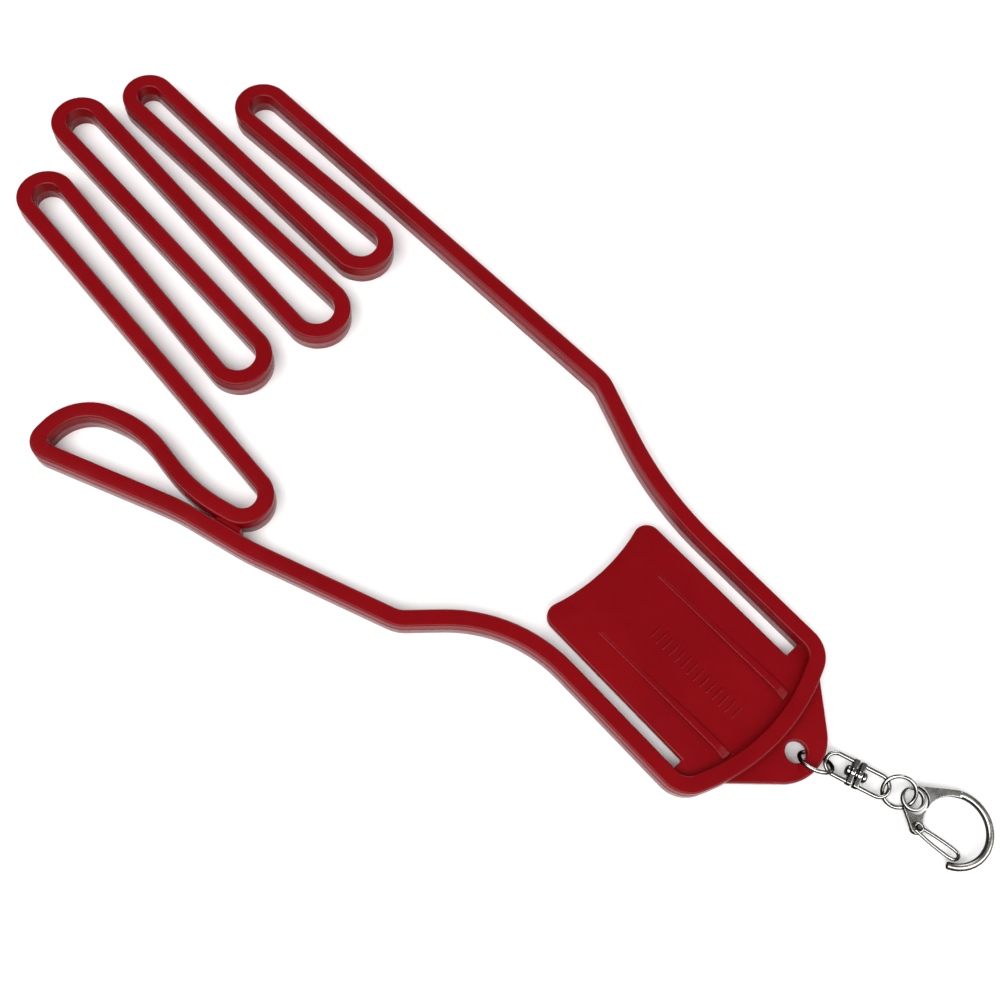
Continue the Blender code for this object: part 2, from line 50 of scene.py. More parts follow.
# Outline: the bar's centreline turns round these circles. x, y, radius in millimetres, side.
LEFT = 1
RIGHT = -1
HAND_TURNS = [
    (0.0, 49.9, 49.9, LEFT),
    (18.2, 9.9, 6.0, LEFT),
    (119.2, 43.2, 95.0, RIGHT),
    (25.8, 93.4, 10.0, LEFT),
    (24.85, 214.0, 5.6, LEFT),
    (16.5, 163.6, 6.5, RIGHT),
    (3.6, 237.1, 5.0, LEFT),
    (-5.2, 156.1, 6.7, RIGHT),
    (-15.35, 242.3, 5.8, LEFT),
    (-28.8, 158.9, 6.5, RIGHT),
    (-36.5, 229.0, 5.6, LEFT),
    (-52.2, 128.3, 5.45, RIGHT),
    (-16.75, 142.4, 43.5, RIGHT),
    (-86.5, 154.0, 27.0, LEFT),
    (-74.0, 162.1, 12.3, LEFT),
    (-77.3, 170.6, 3.4, LEFT),
    (-122.2, 115.6, 60.0, RIGHT),
    (-3.4, 136.8, 60.0, LEFT),
    (-38.5, 84.6, 8.0, LEFT),
    (-62.2, 44.2, 38.0, RIGHT),
    (-18.2, 9.9, 6.0, LEFT),
]
WRIST_RADIUS = 49.9 * MM
SIDE_X = 24.2 * MM
BAR_WIDTH = 4.3 * MM
BAR_HEIGHT = 6.5 * MM
TOP_FILLET = 0.5 * MM
BOTTOM_FILLET = 0.45 * MM
WALL_DRAFT = 0.06 * MM
PARTING_BEAD = 0.02 * MM
PATH_ARC_STEP = math.radians(5)
PATH_ARC_LENGTH = 2.5 * MM
PATH_STRAIGHT_STEP = 4.0 * MM
PATH_SPACING = 0.25 * MM
BRIDGE_PLACE = (-60.3 * MM, 124.9 * MM, 2.9 * MM)
BRIDGE_TURN = math.radians(22)
BRIDGE_SIZE = (3.2 * MM, 7.0 * MM, 5.0 * MM)
BRIDGE_EDGE = 0.5 * MM

# Plate of the clip, its webs and the key tab
PLATE_LOW = 2.25 * MM
PLATE_TOP = 4.25 * MM
PLATE_EDGE = 0.45 * MM
TAB_EDGE = 0.5 * MM
SLOT_END_Y = 10.7 * MM
SHOULDER_Y = SLOT_END_Y - 3.0 * MM
SHOULDER_X = SIDE_X - 0.6 * MM
SHEET_ROOT_X = range(-20, 21, 2)
CLIP_CENTRE_X = -0.6 * MM
CLIP_HALF_WIDTH = 18.4 * MM
CLIP_END_Y = 55.7 * MM
CLIP_END_RADIUS = 54.0 * MM
CLIP_CORNER = 3.5 * MM
CLIP_END_STEPS = 32
CLIP_END_TRIM = 6
RIB_EDGES_X = (-11.9 * MM, 8.9 * MM)
RIB_TIP_WIDTH = 0.8 * MM
RIB_ROOT_WIDTH = 2.4 * MM
RIB_TIP_HEIGHT = 0.08 * MM
RIB_HEIGHT = 1.1 * MM
RIB_TIP_Y = 45.5 * MM
RIB_CREST_Y = 7.8 * MM
RIB_FOOT_Y = 3.9 * MM
RIB_FOOT_SHARE = 0.3
RIB_SUNK = 0.6 * MM
RIB_LEAN = 0.2
RIB_EDGE = 0.2 * MM
LIP_FROM_X = -9.5 * MM
LIP_TO_X = 8.9 * MM
LIP_WIDTH = 0.55 * MM
LIP_HEIGHT = 0.22 * MM
LIP_OVERLAP = 0.5 * MM
LIP_EDGE = 0.1 * MM
RIDGE_COUNT = 14
RIDGE_FIRST_Y = 9.5 * MM
RIDGE_PITCH = 2.05 * MM
RIDGE_X = -1.4 * MM
RIDGE_SIZE = (4.2 * MM, 0.6 * MM, 0.4 * MM)
RIDGE_EDGE = 0.16 * MM
BEND_START_Y = 3.4 * MM
BEND_END_Y = 16.0 * MM
BEND_SLICE = 1.5 * MM

TAB_APEX = (3.2 * MM, -17.6 * MM)
TAB_LEFT = (-17.0 * MM, 1.74 * MM)
TAB_RIGHT = (20.8 * MM, 2.8 * MM)
TAB_NOSE_RADIUS = 11.6 * MM
TAB_ROOT_ANGLE = math.radians(19)
HOLE_CENTRE = (2.2 * MM, -6.3 * MM)
HOLE_RADIUS = 2.6 * MM
DRILL_LENGTH = 3 * BAR_HEIGHT

# Key chain
CHAIN_HEADING = math.radians(-70.7)
TAB_RING = ((4.0, -11.1, 3.56), math.radians(-63.0), math.radians(-49.2), 4.05 * MM, 0.5 * MM)
HOOK_RING = ((13.6, -29.2, 2.63), math.radians(-64.8), math.radians(33.8), 3.85 * MM, 0.47 * MM)
RING_CUT_GAP = 0.05 * MM
RING_STEPS = 120
TAB_RING_CUT = math.radians(115)
HOOK_RING_CUT = math.radians(75)
SWIVEL_START = (7.1 * MM, -13.35 * MM, 2.5 * MM)
LINK_HALF_WIDTH = 2.65 * MM
LINK_WIRE = 0.5 * MM
NEAR_LOOP = 1.6 * MM
NEAR_BAR = 5.65 * MM
FAR_BAR = 7.4 * MM
FAR_LOOP = 12.2 * MM
LINK_BAR_THICKNESS = 1.3 * MM
LINK_BAR_HEIGHT = 2.1 * MM
LINK_BAR_OVERHANG = 0.05 * MM
LINK_BAR_EDGE = 0.25 * MM
RIVET_HOLE_RADIUS = 0.69 * MM
RIVET_RADIUS = 0.6 * MM
RIVET_HEAD_RADIUS = 1.25 * MM
RIVET_HEAD_LENGTH = 1.1 * MM
RIVET_SKIRT_SHARE = 0.4
RIVET_RIM_SHARE = 0.93
RIVET_RIM_LENGTH = 0.1 * MM
RIVET_GAP = 0.12 * MM
COLLAR_RADIUS = 1.3 * MM
LINK_BOSS_RADIUS = 1.45 * MM
LINK_BOSS_EDGE = 0.4 * MM
COLLAR_EDGE = 0.08 * MM

HOOK_MID_Z = 2.45 * MM
BOW_CENTRE = Vector((16.55 * MM, -43.7 * MM))
BOW_RADIUS = 8.4 * MM
BOW_WIRE = 0.9 * MM
BOW_START = math.radians(30)
BOW_END = math.radians(-153)
SHANK_THICKNESS = 1.3 * MM
EYE_RIM_WIDTH = 0.8 * MM
EYE_RIM_RAISED = 0.1 * MM
EYE_RIM_EDGE = 0.3 * MM
SHANK_OUTER = 9.2 * MM
SHANK_INNER = 7.55 * MM
SHANK_EDGE = 0.35 * MM
SHANK_BOW_START = math.radians(28)
SHANK_INNER_START = math.radians(142)
EYE_CENTRE = Vector((14.9 * MM, -32.95 * MM))
EYE_RADIUS = 3.3 * MM
EYE_HOLE = Vector((14.9 * MM, -32.6 * MM))
EYE_HOLE_RADIUS = 2.15 * MM
BOSS = Vector((10.35 * MM, -37.4 * MM))
BOSS_RADIUS = 1.5 * MM
SKIN_VOXEL = 0.11 * MM
SKIN_RELAX_ROUNDS = 7
DRILL_THROUGH = 4 * MM
# Half of the post's turned profile: distance along its axis and radius in millimetres.
POST_HEAD = [(1.64, 0.45), (1.7, 0.62), (1.88, 0.62), (2.0, 0.5), (2.0, 0.0)]
GATE_WIRE = 0.4 * MM
GATE_LEVEL = 1.25 * MM
GATE_EYE_RADIUS = 0.95 * MM
GATE_EYE_TURN = math.radians(300)
# The gate's legs and nose: x and y in millimetres, and height as a share of GATE_LEVEL.
GATE_LEGS = [
    (9.55, -41.0, 1.0), (9.95, -44.5, 1.0), (10.3, -46.6, 1.0), (10.95, -47.75, 0.7),
    (11.95, -48.25, 0.1), (12.9, -48.25, -0.5), (13.45, -47.4, -0.9), (13.25, -45.1, -1.0),
    (12.25, -40.5, -1.0),
]

# Studio: softboxes as name, place, size and watts; camera in metres
LIGHTS_AIM = (-0.015, 0.1, 0.0)
SOFTBOXES = [
    ("left_softbox", (-0.55, 0.10, 0.95), (1.6, 0.75), 18),
    ("front_softbox", (0.10, -0.95, 0.95), (1.4, 0.9), 12),
    ("right_softbox", (1.30, 0.80, 0.80), (0.9, 0.6), 7),
]
WORLD_STRENGTH = 0.12
FLOOR_HALF = 3.0
FLOOR_DEPTH = 0.01
CAMERA_PLACE = (-0.0987, 0.0139, 0.300)
CAMERA_RIGHT = Vector((0.7253, -0.6857, 0.0605))
CAMERA_FORWARD = Vector((0.2915, 0.2263, -0.9294))
CAMERA_LENS = 46.246
CAMERA_SENSOR = 36.0
CAMERA_CLIP_START = 0.01


# ---------------------------------------------------------------- shapes

def new_object(name, work):
    bmesh.ops.recalc_face_normals(work, faces=work.faces)
    mesh = bpy.data.meshes.new(name)
    work.to_mesh(mesh)
    work.free()
    item = bpy.data.objects.new(name, mesh)
    bpy.context.scene.collection.objects.link(item)
    return item


def smooth(item, degrees=35):
    item.data.shade_smooth()
    item.data.set_sharp_from_angle(angle=math.radians(degrees))


def boolean(item, tool, operation):
    modifier = item.modifiers.new(operation.lower(), "BOOLEAN")
    modifier.operation = operation
    modifier.solver = "EXACT"
    modifier.object = tool


def bevel(item, width, segments):
    modifier = item.modifiers.new("edges", "BEVEL")
    modifier.width = width
    modifier.segments = segments
    modifier.limit_method = "ANGLE"
    modifier.angle_limit = math.radians(50)


def freeze(item):
    """Apply every modifier."""
    depsgraph = bpy.context.evaluated_depsgraph_get()
    mesh = bpy.data.meshes.new_from_object(item.evaluated_get(depsgraph))
    item.modifiers.clear()
    item.data = mesh


def discard(*items):
    for item in items:
        bpy.data.objects.remove(item)


def arc_points(centre, radius, start, end, step):
    count = max(1, math.ceil(abs(end - start) / step))
    angles = [start + (end - start) * i / count for i in range(count + 1)]
    return [centre + radius * Vector((math.cos(a), math.sin(a))) for a in angles]


def tangent_heading(first, second):
    gap = second[0] - first[0]
    offset = second[2] * second[1] - first[2] * first[1]
    return math.atan2(gap.y, gap.x) - math.asin(offset / gap.length)


def belt_outline(turns):
    """Closed outline, straight between the turning circles, with short even steps."""
    points = []
    count = len(turns)
    headings = [tangent_heading(turns[i], turns[(i + 1) % count]) for i in range(count)]
    for i, (centre, radius, side) in enumerate(turns):
        start = headings[i - 1] - side * math.pi / 2
        sweep = (headings[i] - headings[i - 1]) * side % (2 * math.pi)
        step = min(PATH_ARC_STEP, PATH_ARC_LENGTH / radius)
        arc = arc_points(centre, radius, start, start + side * sweep, step)
        points += straight_points(points[-1], arc[0]) if points else []
        points += arc
    return points + straight_points(points[-1], points[0])


def straight_points(start, end):
    count = int((end - start).length / PATH_STRAIGHT_STEP)
    return [start.lerp(end, (i + 1) / (count + 1)) for i in range(count)]


def drop_close_points(path, spacing):
    kept = []
    for point in path:
        if not kept or (point - kept[-1]).length > spacing:
            kept.append(point)
    if (kept[0] - kept[-1]).length <= spacing:
        kept.pop()
    return kept


def bar_half_section():
    """Right half of the bar's section, bottom to top: rounded edges, drafted walls, a fine
    parting line at mid height."""
    half = BAR_WIDTH / 2
    edge = half - WALL_DRAFT
    quarter = math.pi / 2
    low = arc_points(Vector((edge - BOTTOM_FILLET, BOTTOM_FILLET)), BOTTOM_FILLET,
                     -quarter, 0, math.radians(20))
    top = arc_points(Vector((edge - TOP_FILLET, BAR_HEIGHT - TOP_FILLET)), TOP_FILLET,
                     0, quarter, math.radians(16))
    middle = BAR_HEIGHT / 2
    bead = [
        Vector((half - PARTING_BEAD, middle - 2 * PARTING_BEAD)), Vector((half, middle)),
        Vector((half - PARTING_BEAD, middle + 2 * PARTING_BEAD)),
    ]
    return [*low, *bead, *top]


def bar_section():
    right = bar_half_section()
    return [(p.x, p.y) for p in right] + [(-p.x, p.y) for p in reversed(right)]


def side_vector(before, here, after):
    incoming = (here - before).normalized()
    outgoing = (after - here).normalized()
    normal_in = Vector((-incoming.y, incoming.x))
    normal_out = Vector((-outgoing.y, outgoing.x))
    middle = (normal_in + normal_out).normalized()
    return middle / max(0.7, middle.dot(normal_in))


def sweep_flat_loop(path, section):
    work = bmesh.new()
    rings = []
    count = len(path)
    for i, here in enumerate(path):
        side = side_vector(path[i - 1], here, path[(i + 1) % count])
        rings.append([work.verts.new((*(here + side * u), z)) for u, z in section])
    size = len(section)
    for i in range(count):
        near = rings[i]
        far = rings[(i + 1) % count]
        for j in range(size):
            work.faces.new((near[j], near[(j + 1) % size], far[(j + 1) % size], far[j]))
    return work


def prism(outline, low, high):
    work = bmesh.new()
    face = work.faces.new([work.verts.new((p[0], p[1], low)) for p in outline])
    lifted = bmesh.ops.extrude_face_region(work, geom=[face])["geom"]
    top = [item for item in lifted if isinstance(item, bmesh.types.BMVert)]
    bmesh.ops.translate(work, verts=top, vec=(0, 0, high - low))
    return work


def hull(points):
    work = bmesh.new()
    verts = [work.verts.new(p) for p in points]
    bmesh.ops.convex_hull(work, input=verts)
    return work


def cylinder(radius, length, place, steps=48):
    work = bmesh.new()
    bmesh.ops.create_cone(work, cap_ends=True, segments=steps, radius1=radius, radius2=radius,
                          depth=length, matrix=place)
    return work


def box(size, place):
    work = bmesh.new()
    bmesh.ops.create_cube(work, size=1.0, matrix=place @ Matrix.Diagonal((*size, 1.0)))
    return work


def tube(path, radii, closed=False, sides=20):
    """Round wire along a path. radii is one radius, or one for each point."""
    work = bmesh.new()
    count = len(path)
    sizes = radii if isinstance(radii, list) else [radii] * count
    rings = []
    normal = None
    for i, here in enumerate(path):
        before = path[i - 1] if closed or i > 0 else here
        after = path[(i + 1) % count] if closed or i < count - 1 else here
        along = (after - before).normalized()
        normal = along.orthogonal().normalized() if normal is None else normal
        normal = (normal - along * normal.dot(along)).normalized()
        other = along.cross(normal)
        turns = [2 * math.pi * j / sides for j in range(sides)]
        rings.append([work.verts.new(here + sizes[i] * (math.cos(t) * normal + math.sin(t) * other))
                      for t in turns])
    for i in range(count if closed else count - 1):
        near = rings[i]
        far = rings[(i + 1) % count]
        for j in range(sides):
            work.faces.new((near[j], near[(j + 1) % sides], far[(j + 1) % sides], far[j]))
    if not closed:
        work.faces.new(rings[0])
        work.faces.new(rings[-1])
    return work


def smooth_path(points, steps=6):
    """Catmull-Rom curve through the points."""
    curve = []
    last = len(points) - 1
    for i in range(last):
        a = points[max(i - 1, 0)]
        b = points[i]
        c = points[i + 1]
        d = points[min(i + 2, last)]
        for k in range(steps):
            t = k / steps
            curve.append(0.5 * (2 * b + (c - a) * t + (2 * a - 5 * b + 4 * c - d) * t * t
                                + (3 * b - a - 3 * c + d) * t ** 3))
    return [*curve, points[-1]]


def turned(profile, steps=40):
    """Solid of revolution round X."""
    work = bmesh.new()
    verts = [work.verts.new((x, r, 0)) for x, r in profile]
    edges = [work.edges.new(pair) for pair in zip(verts, verts[1:])]
    bmesh.ops.spin(work, geom=verts + edges, cent=(0, 0, 0), axis=(1, 0, 0),
                   angle=2 * math.pi, steps=steps, use_merge=True)
    bmesh.ops.remove_doubles(work, verts=work.verts, dist=1e-6)
    return work


def frame_at(position, heading, roll=0.0):
    turn = Euler((0, 0, heading)).to_matrix() @ Euler((roll, 0, 0)).to_matrix()
    return Matrix.Translation(position) @ turn.to_4x4()


def round_corner(before, corner, after, radius, step=math.radians(6)):
    inward = (before - corner).normalized()
    outward = (after - corner).normalized()
    half = inward.angle(outward) / 2
    centre = corner + (inward + outward).normalized() * radius / math.sin(half)
    first = corner + inward * radius / math.tan(half) - centre
    last = corner + outward * radius / math.tan(half) - centre
    start = math.atan2(first.y, first.x)
    sweep = (math.atan2(last.y, last.x) - start + math.pi) % (2 * math.pi) - math.pi
    return arc_points(centre, radius, start, start + sweep, step)


# ---------------------------------------------------------------- plastic

def tab_outline():
    left = Vector(TAB_LEFT)
    right = Vector(TAB_RIGHT)
    nose = round_corner(left, Vector(TAB_APEX), right, TAB_NOSE_RADIUS, math.radians(4))
    down = -math.pi / 2
    root = arc_points(Vector((0.0, WRIST_RADIUS)), WRIST_RADIUS, down + TAB_ROOT_ANGLE,
                      down - TAB_ROOT_ANGLE, math.radians(4))
    return [left, *nose, right, *root]


def make_key_tab():
    tab = new_object("key_tab", prism(tab_outline(), PLATE_LOW, PLATE_TOP))
    drill_place = Matrix.Translation((*HOLE_CENTRE, PLATE_TOP))
    drill = new_object("key_hole", cylinder(HOLE_RADIUS, DRILL_LENGTH, drill_place, 64))
    boolean(tab, drill, "DIFFERENCE")
    freeze(tab)
    discard(drill)
    bevel(tab, TAB_EDGE, 5)
    return tab


def make_thumb_bridge():
    """Short tie, lower than the bars, where the thumb valley meets the thumb bar."""
    place = Matrix.Translation(BRIDGE_PLACE) @ Matrix.Rotation(BRIDGE_TURN, 4, "Z")
    bridge = new_object("thumb_bridge", box(BRIDGE_SIZE, place))
    bevel(bridge, BRIDGE_EDGE, 3)
    return bridge


def make_hand():
    turns = [(Vector((x, y)) * MM, r * MM, side) for x, y, r, side in HAND_TURNS]
    path = drop_close_points(belt_outline(turns), PATH_SPACING)
    hand = new_object("hand_outline", sweep_flat_loop(path, bar_section()))
    tools = [make_key_tab(), make_thumb_bridge()]
    for tool in tools:
        boolean(hand, tool, "UNION")
    freeze(hand)
    discard(*tools)
    smooth(hand, 30)
    return hand


def sheet_outline():
    """Clip tongue and its webs in one sheet. Its outer edges end inside the bars."""
    root = [
        Vector((x * MM, WRIST_RADIUS - math.sqrt(WRIST_RADIUS**2 - (x * MM)**2)))
        for x in SHEET_ROOT_X
    ]
    steps = CLIP_END_STEPS
    xs = [CLIP_HALF_WIDTH * (1 - 2 * i / steps) for i in range(steps + 1)]
    end_centre = CLIP_END_Y + CLIP_END_RADIUS
    end = [Vector((CLIP_CENTRE_X + x, end_centre - math.sqrt(CLIP_END_RADIUS**2 - x**2))) for x in xs]
    left = CLIP_CENTRE_X - CLIP_HALF_WIDTH
    right = CLIP_CENTRE_X + CLIP_HALF_WIDTH
    trim = CLIP_END_TRIM
    right_end = round_corner(Vector((right, SLOT_END_Y)), end[0], end[trim - 1], CLIP_CORNER)
    left_end = round_corner(end[-trim], end[-1], Vector((left, SLOT_END_Y)), CLIP_CORNER)
    return [
        *root, Vector((SHOULDER_X, SHOULDER_Y)), Vector((SIDE_X, SLOT_END_Y)),
        Vector((right, SLOT_END_Y)), *right_end, *end[trim:-trim], *left_end,
        Vector((left, SLOT_END_Y)), Vector((-SIDE_X, SLOT_END_Y)), Vector((-SHOULDER_X, SHOULDER_Y)),
    ]


def make_rib(left):
    """Wedge rib with one straight side: narrow and low at its tip, wide and tall at the wrist,
    with a short end ramp."""
    stations = [
        (RIB_TIP_Y, RIB_TIP_WIDTH, RIB_TIP_HEIGHT), (RIB_CREST_Y, RIB_ROOT_WIDTH, RIB_HEIGHT),
        (RIB_FOOT_Y, RIB_ROOT_WIDTH, RIB_HEIGHT * RIB_FOOT_SHARE),
    ]
    points = []
    for y, width, height in stations:
        lean = RIB_LEAN * height
        points += [(left, y, PLATE_TOP - RIB_SUNK), (left + width, y, PLATE_TOP - RIB_SUNK)]
        points += [(left + lean, y, PLATE_TOP + height), (left + width - lean, y, PLATE_TOP + height)]
    rib = new_object("rib", hull(points))
    bevel(rib, RIB_EDGE, 3)
    return rib


def make_lip():
    """Low step along the wrist bar between the ribs."""
    outer = WRIST_RADIUS - BAR_WIDTH / 2 + LIP_OVERLAP
    inner = WRIST_RADIUS - BAR_WIDTH / 2 - LIP_WIDTH
    centre = Vector((0.0, WRIST_RADIUS))
    start = -math.pi / 2 + math.asin(LIP_FROM_X / outer)
    end = -math.pi / 2 + math.asin(LIP_TO_X / outer)
    step = math.radians(2)
    outline = arc_points(centre, outer, start, end, step) + arc_points(centre, inner, end, start, step)
    lip = new_object("lip", prism(outline, PLATE_TOP - RIB_SUNK, PLATE_TOP + LIP_HEIGHT))
    bevel(lip, LIP_EDGE, 3)
    return lip


def make_grip_ridges():
    """Row of plain low ridges along the tongue's middle."""
    ridges = []
    for i in range(RIDGE_COUNT):
        place = Matrix.Translation((RIDGE_X, RIDGE_FIRST_Y + i * RIDGE_PITCH, PLATE_TOP))
        ridge = new_object("ridge", box(RIDGE_SIZE, place))
        bevel(ridge, RIDGE_EDGE, 3)
        ridges.append(ridge)
    return ridges


def slice_for_bending(item, start, end, spacing):
    work = bmesh.new()
    work.from_mesh(item.data)
    for i in range(int((end - start) / spacing) + 1):
        geometry = work.verts[:] + work.edges[:] + work.faces[:]
        bmesh.ops.bisect_plane(work, geom=geometry, plane_co=(0, start + i * spacing, 0),
                               plane_no=(0, 1, 0))
    work.to_mesh(item.data)
    work.free()


def make_clip_sheet():
    sheet = new_object("clip_sheet", prism(sheet_outline(), PLATE_LOW, PLATE_TOP))
    bevel(sheet, PLATE_EDGE, 4)
    tools = [*(make_rib(left) for left in RIB_EDGES_X), make_lip(), *make_grip_ridges()]
    for tool in tools:
        boolean(sheet, tool, "UNION")
    freeze(sheet)
    discard(*tools)
    slice_for_bending(sheet, BEND_START_Y - BEND_SLICE, BEND_END_Y + BEND_SLICE, BEND_SLICE)
    smooth(sheet, 30)
    return sheet


# ---------------------------------------------------------------- key chain

def make_ring(name, spec, cut):
    """Jump ring: bent wire whose ends meet at a fine cut."""
    centre, heading, roll, radius, wire = spec
    gap = RING_CUT_GAP / radius
    angles = [cut + gap + (2 * math.pi - 2 * gap) * i / RING_STEPS for i in range(RING_STEPS + 1)]
    path = [Vector((radius * math.cos(a), radius * math.sin(a), 0)) for a in angles]
    work = tube(path, wire, sides=24)
    work.transform(frame_at(Vector(centre) * MM, heading, roll))
    ring = new_object(name, work)
    smooth(ring)
    return ring


def make_link(name, loop, bar, away):
    """U of wire with a flat end plate that is drilled for the rivet."""
    place = frame_at(SWIVEL_START, CHAIN_HEADING)
    top = math.pi / 2
    arc = arc_points(Vector((loop, 0)), LINK_HALF_WIDTH, top, top - away * math.pi, math.radians(5))
    flat = [Vector((bar, LINK_HALF_WIDTH)), *arc, Vector((bar, -LINK_HALF_WIDTH))]
    wire = tube([Vector((p.x, p.y, 0)) for p in flat], LINK_WIRE, sides=24)
    wire.transform(place)
    link = new_object(name, wire)
    size = (LINK_BAR_THICKNESS, 2 * (LINK_HALF_WIDTH + LINK_WIRE + LINK_BAR_OVERHANG), LINK_BAR_HEIGHT)
    bar_place = place @ Matrix.Translation((bar, 0, 0))
    plate = new_object("end_plate", box(size, bar_place))
    bevel(plate, LINK_BAR_EDGE, 4)
    hole_place = bar_place @ Matrix.Rotation(math.pi / 2, 4, "Y")
    hole = new_object("rivet_hole", cylinder(RIVET_HOLE_RADIUS, DRILL_THROUGH, hole_place))
    boss = new_object("boss", cylinder(LINK_BOSS_RADIUS, LINK_BAR_THICKNESS, hole_place))
    bevel(boss, LINK_BOSS_EDGE, 5)
    boolean(link, plate, "UNION")
    boolean(link, boss, "UNION")
    boolean(link, hole, "DIFFERENCE")
    freeze(link)
    discard(plate, boss, hole)
    smooth(link)
    return link


def rivet_head(end, outward):
    """Profile of one domed head, from its rim to the rivet's axis."""
    skirt = RIVET_SKIRT_SHARE * RIVET_HEAD_LENGTH
    dome = RIVET_HEAD_LENGTH - skirt
    angles = [math.radians(a) for a in range(0, 90, 9)]
    curve = [
        (end + outward * (skirt + dome * math.sin(a)), RIVET_HEAD_RADIUS * math.cos(a))
        for a in angles
    ]
    rim = (end + outward * RIVET_RIM_LENGTH, RIVET_HEAD_RADIUS)
    tip = (end + outward * RIVET_HEAD_LENGTH, 0.0)
    return [(end, RIVET_HEAD_RADIUS * RIVET_RIM_SHARE), rim, *curve, tip]


def make_rivet():
    """Rivet with a domed head outside each plate and a round collar between the plates."""
    half = LINK_BAR_THICKNESS / 2
    near = NEAR_BAR - half - RIVET_GAP
    far = FAR_BAR + half + RIVET_GAP
    collar_near = NEAR_BAR + half + RIVET_GAP
    collar_far = FAR_BAR - half - RIVET_GAP
    collar = [
        (collar_near, RIVET_RADIUS), (collar_near, COLLAR_RADIUS - COLLAR_EDGE),
        (collar_near + COLLAR_EDGE / 2, COLLAR_RADIUS), (collar_far - COLLAR_EDGE / 2, COLLAR_RADIUS),
        (collar_far, COLLAR_RADIUS - COLLAR_EDGE), (collar_far, RIVET_RADIUS),
    ]
    profile = [*reversed(rivet_head(near, -1)), (near, RIVET_RADIUS), *collar, (far, RIVET_RADIUS),
               *rivet_head(far, 1)]
    work = turned(profile)
    work.transform(frame_at(SWIVEL_START, CHAIN_HEADING))
    rivet = new_object("rivet", work)
    smooth(rivet)
    return rivet


def hook_point(centre, height=0.0):
    return Vector((*centre, HOOK_MID_Z + height))


def shank_outline():
    eye = (EYE_CENTRE, EYE_RADIUS, LEFT)
    boss = (BOSS, BOSS_RADIUS, LEFT)
    rim = (BOW_CENTRE, SHANK_OUTER, LEFT)
    leave_rim = tangent_heading(rim, eye)
    leave_eye = tangent_heading(eye, boss)
    quarter = math.pi / 2
    step = math.radians(5)
    outer = arc_points(BOW_CENTRE, SHANK_OUTER, SHANK_BOW_START, leave_rim - quarter, step)
    top = arc_points(EYE_CENTRE, EYE_RADIUS, leave_rim - quarter, leave_eye - quarter, step)
    foot = arc_points(BOSS, BOSS_RADIUS, leave_eye - quarter, leave_eye + 1.5 * quarter, step)
    inner = arc_points(BOW_CENTRE, SHANK_INNER, SHANK_INNER_START, SHANK_BOW_START, step)
    return [*outer, *top, *foot, *inner]


def make_hook():
    """Cast hook: round bow that swells into a flat shank, blended into one skin."""
    sweep = arc_points(BOW_CENTRE, BOW_RADIUS, BOW_START, BOW_END, math.radians(3))
    path = [hook_point(p) for p in sweep]
    hook = new_object("snap_hook", tube(path, BOW_WIRE, sides=28))
    half = SHANK_THICKNESS / 2
    shank = new_object("shank", prism(shank_outline(), HOOK_MID_Z - half, HOOK_MID_Z + half))
    bevel(shank, SHANK_EDGE, 3)
    eye_place = Matrix.Translation(hook_point(EYE_HOLE))
    rim_radius = EYE_HOLE_RADIUS + EYE_RIM_WIDTH
    rim = new_object("eye_rim", cylinder(rim_radius, SHANK_THICKNESS + EYE_RIM_RAISED, eye_place))
    bevel(rim, EYE_RIM_EDGE, 3)
    eye = new_object("eye", cylinder(EYE_HOLE_RADIUS, DRILL_THROUGH, eye_place))
    boolean(hook, shank, "UNION")
    boolean(hook, rim, "UNION")
    boolean(hook, eye, "DIFFERENCE")
    skin = hook.modifiers.new("skin", "REMESH")
    skin.mode = "VOXEL"
    skin.voxel_size = SKIN_VOXEL
    relax = hook.modifiers.new("relax", "SMOOTH")
    relax.factor = 0.5
    relax.iterations = SKIN_RELAX_ROUNDS
    freeze(hook)
    discard(shank, rim, eye)
    hook.data.shade_smooth()
    return hook


def make_gate_post():
    profile = [(-x, r) for x, r in reversed(POST_HEAD)] + POST_HEAD
    work = turned([(x * MM, r * MM) for x, r in profile])
    work.transform(Matrix.Translation(hook_point(BOSS)) @ Matrix.Rotation(-math.pi / 2, 4, "Y"))
    post = new_object("gate_post", work)
    smooth(post)
    return post


def make_gate():
    """Spring wire gate: eyes round the post above and below, and two legs joined at the nose."""
    step = math.radians(20)
    upper = arc_points(BOSS, GATE_EYE_RADIUS, math.pi + GATE_EYE_TURN, math.pi, step)
    lower = arc_points(BOSS, GATE_EYE_RADIUS, 0.0, -GATE_EYE_TURN, step)
    points = [hook_point(p, GATE_LEVEL) for p in upper]
    points += [hook_point((x * MM, y * MM), GATE_LEVEL * level) for x, y, level in GATE_LEGS]
    points += [hook_point(p, -GATE_LEVEL) for p in lower]
    gate = new_object("gate_wire", tube(smooth_path(points), GATE_WIRE))
    smooth(gate)
    return gate


# ---------------------------------------------------------------- materials

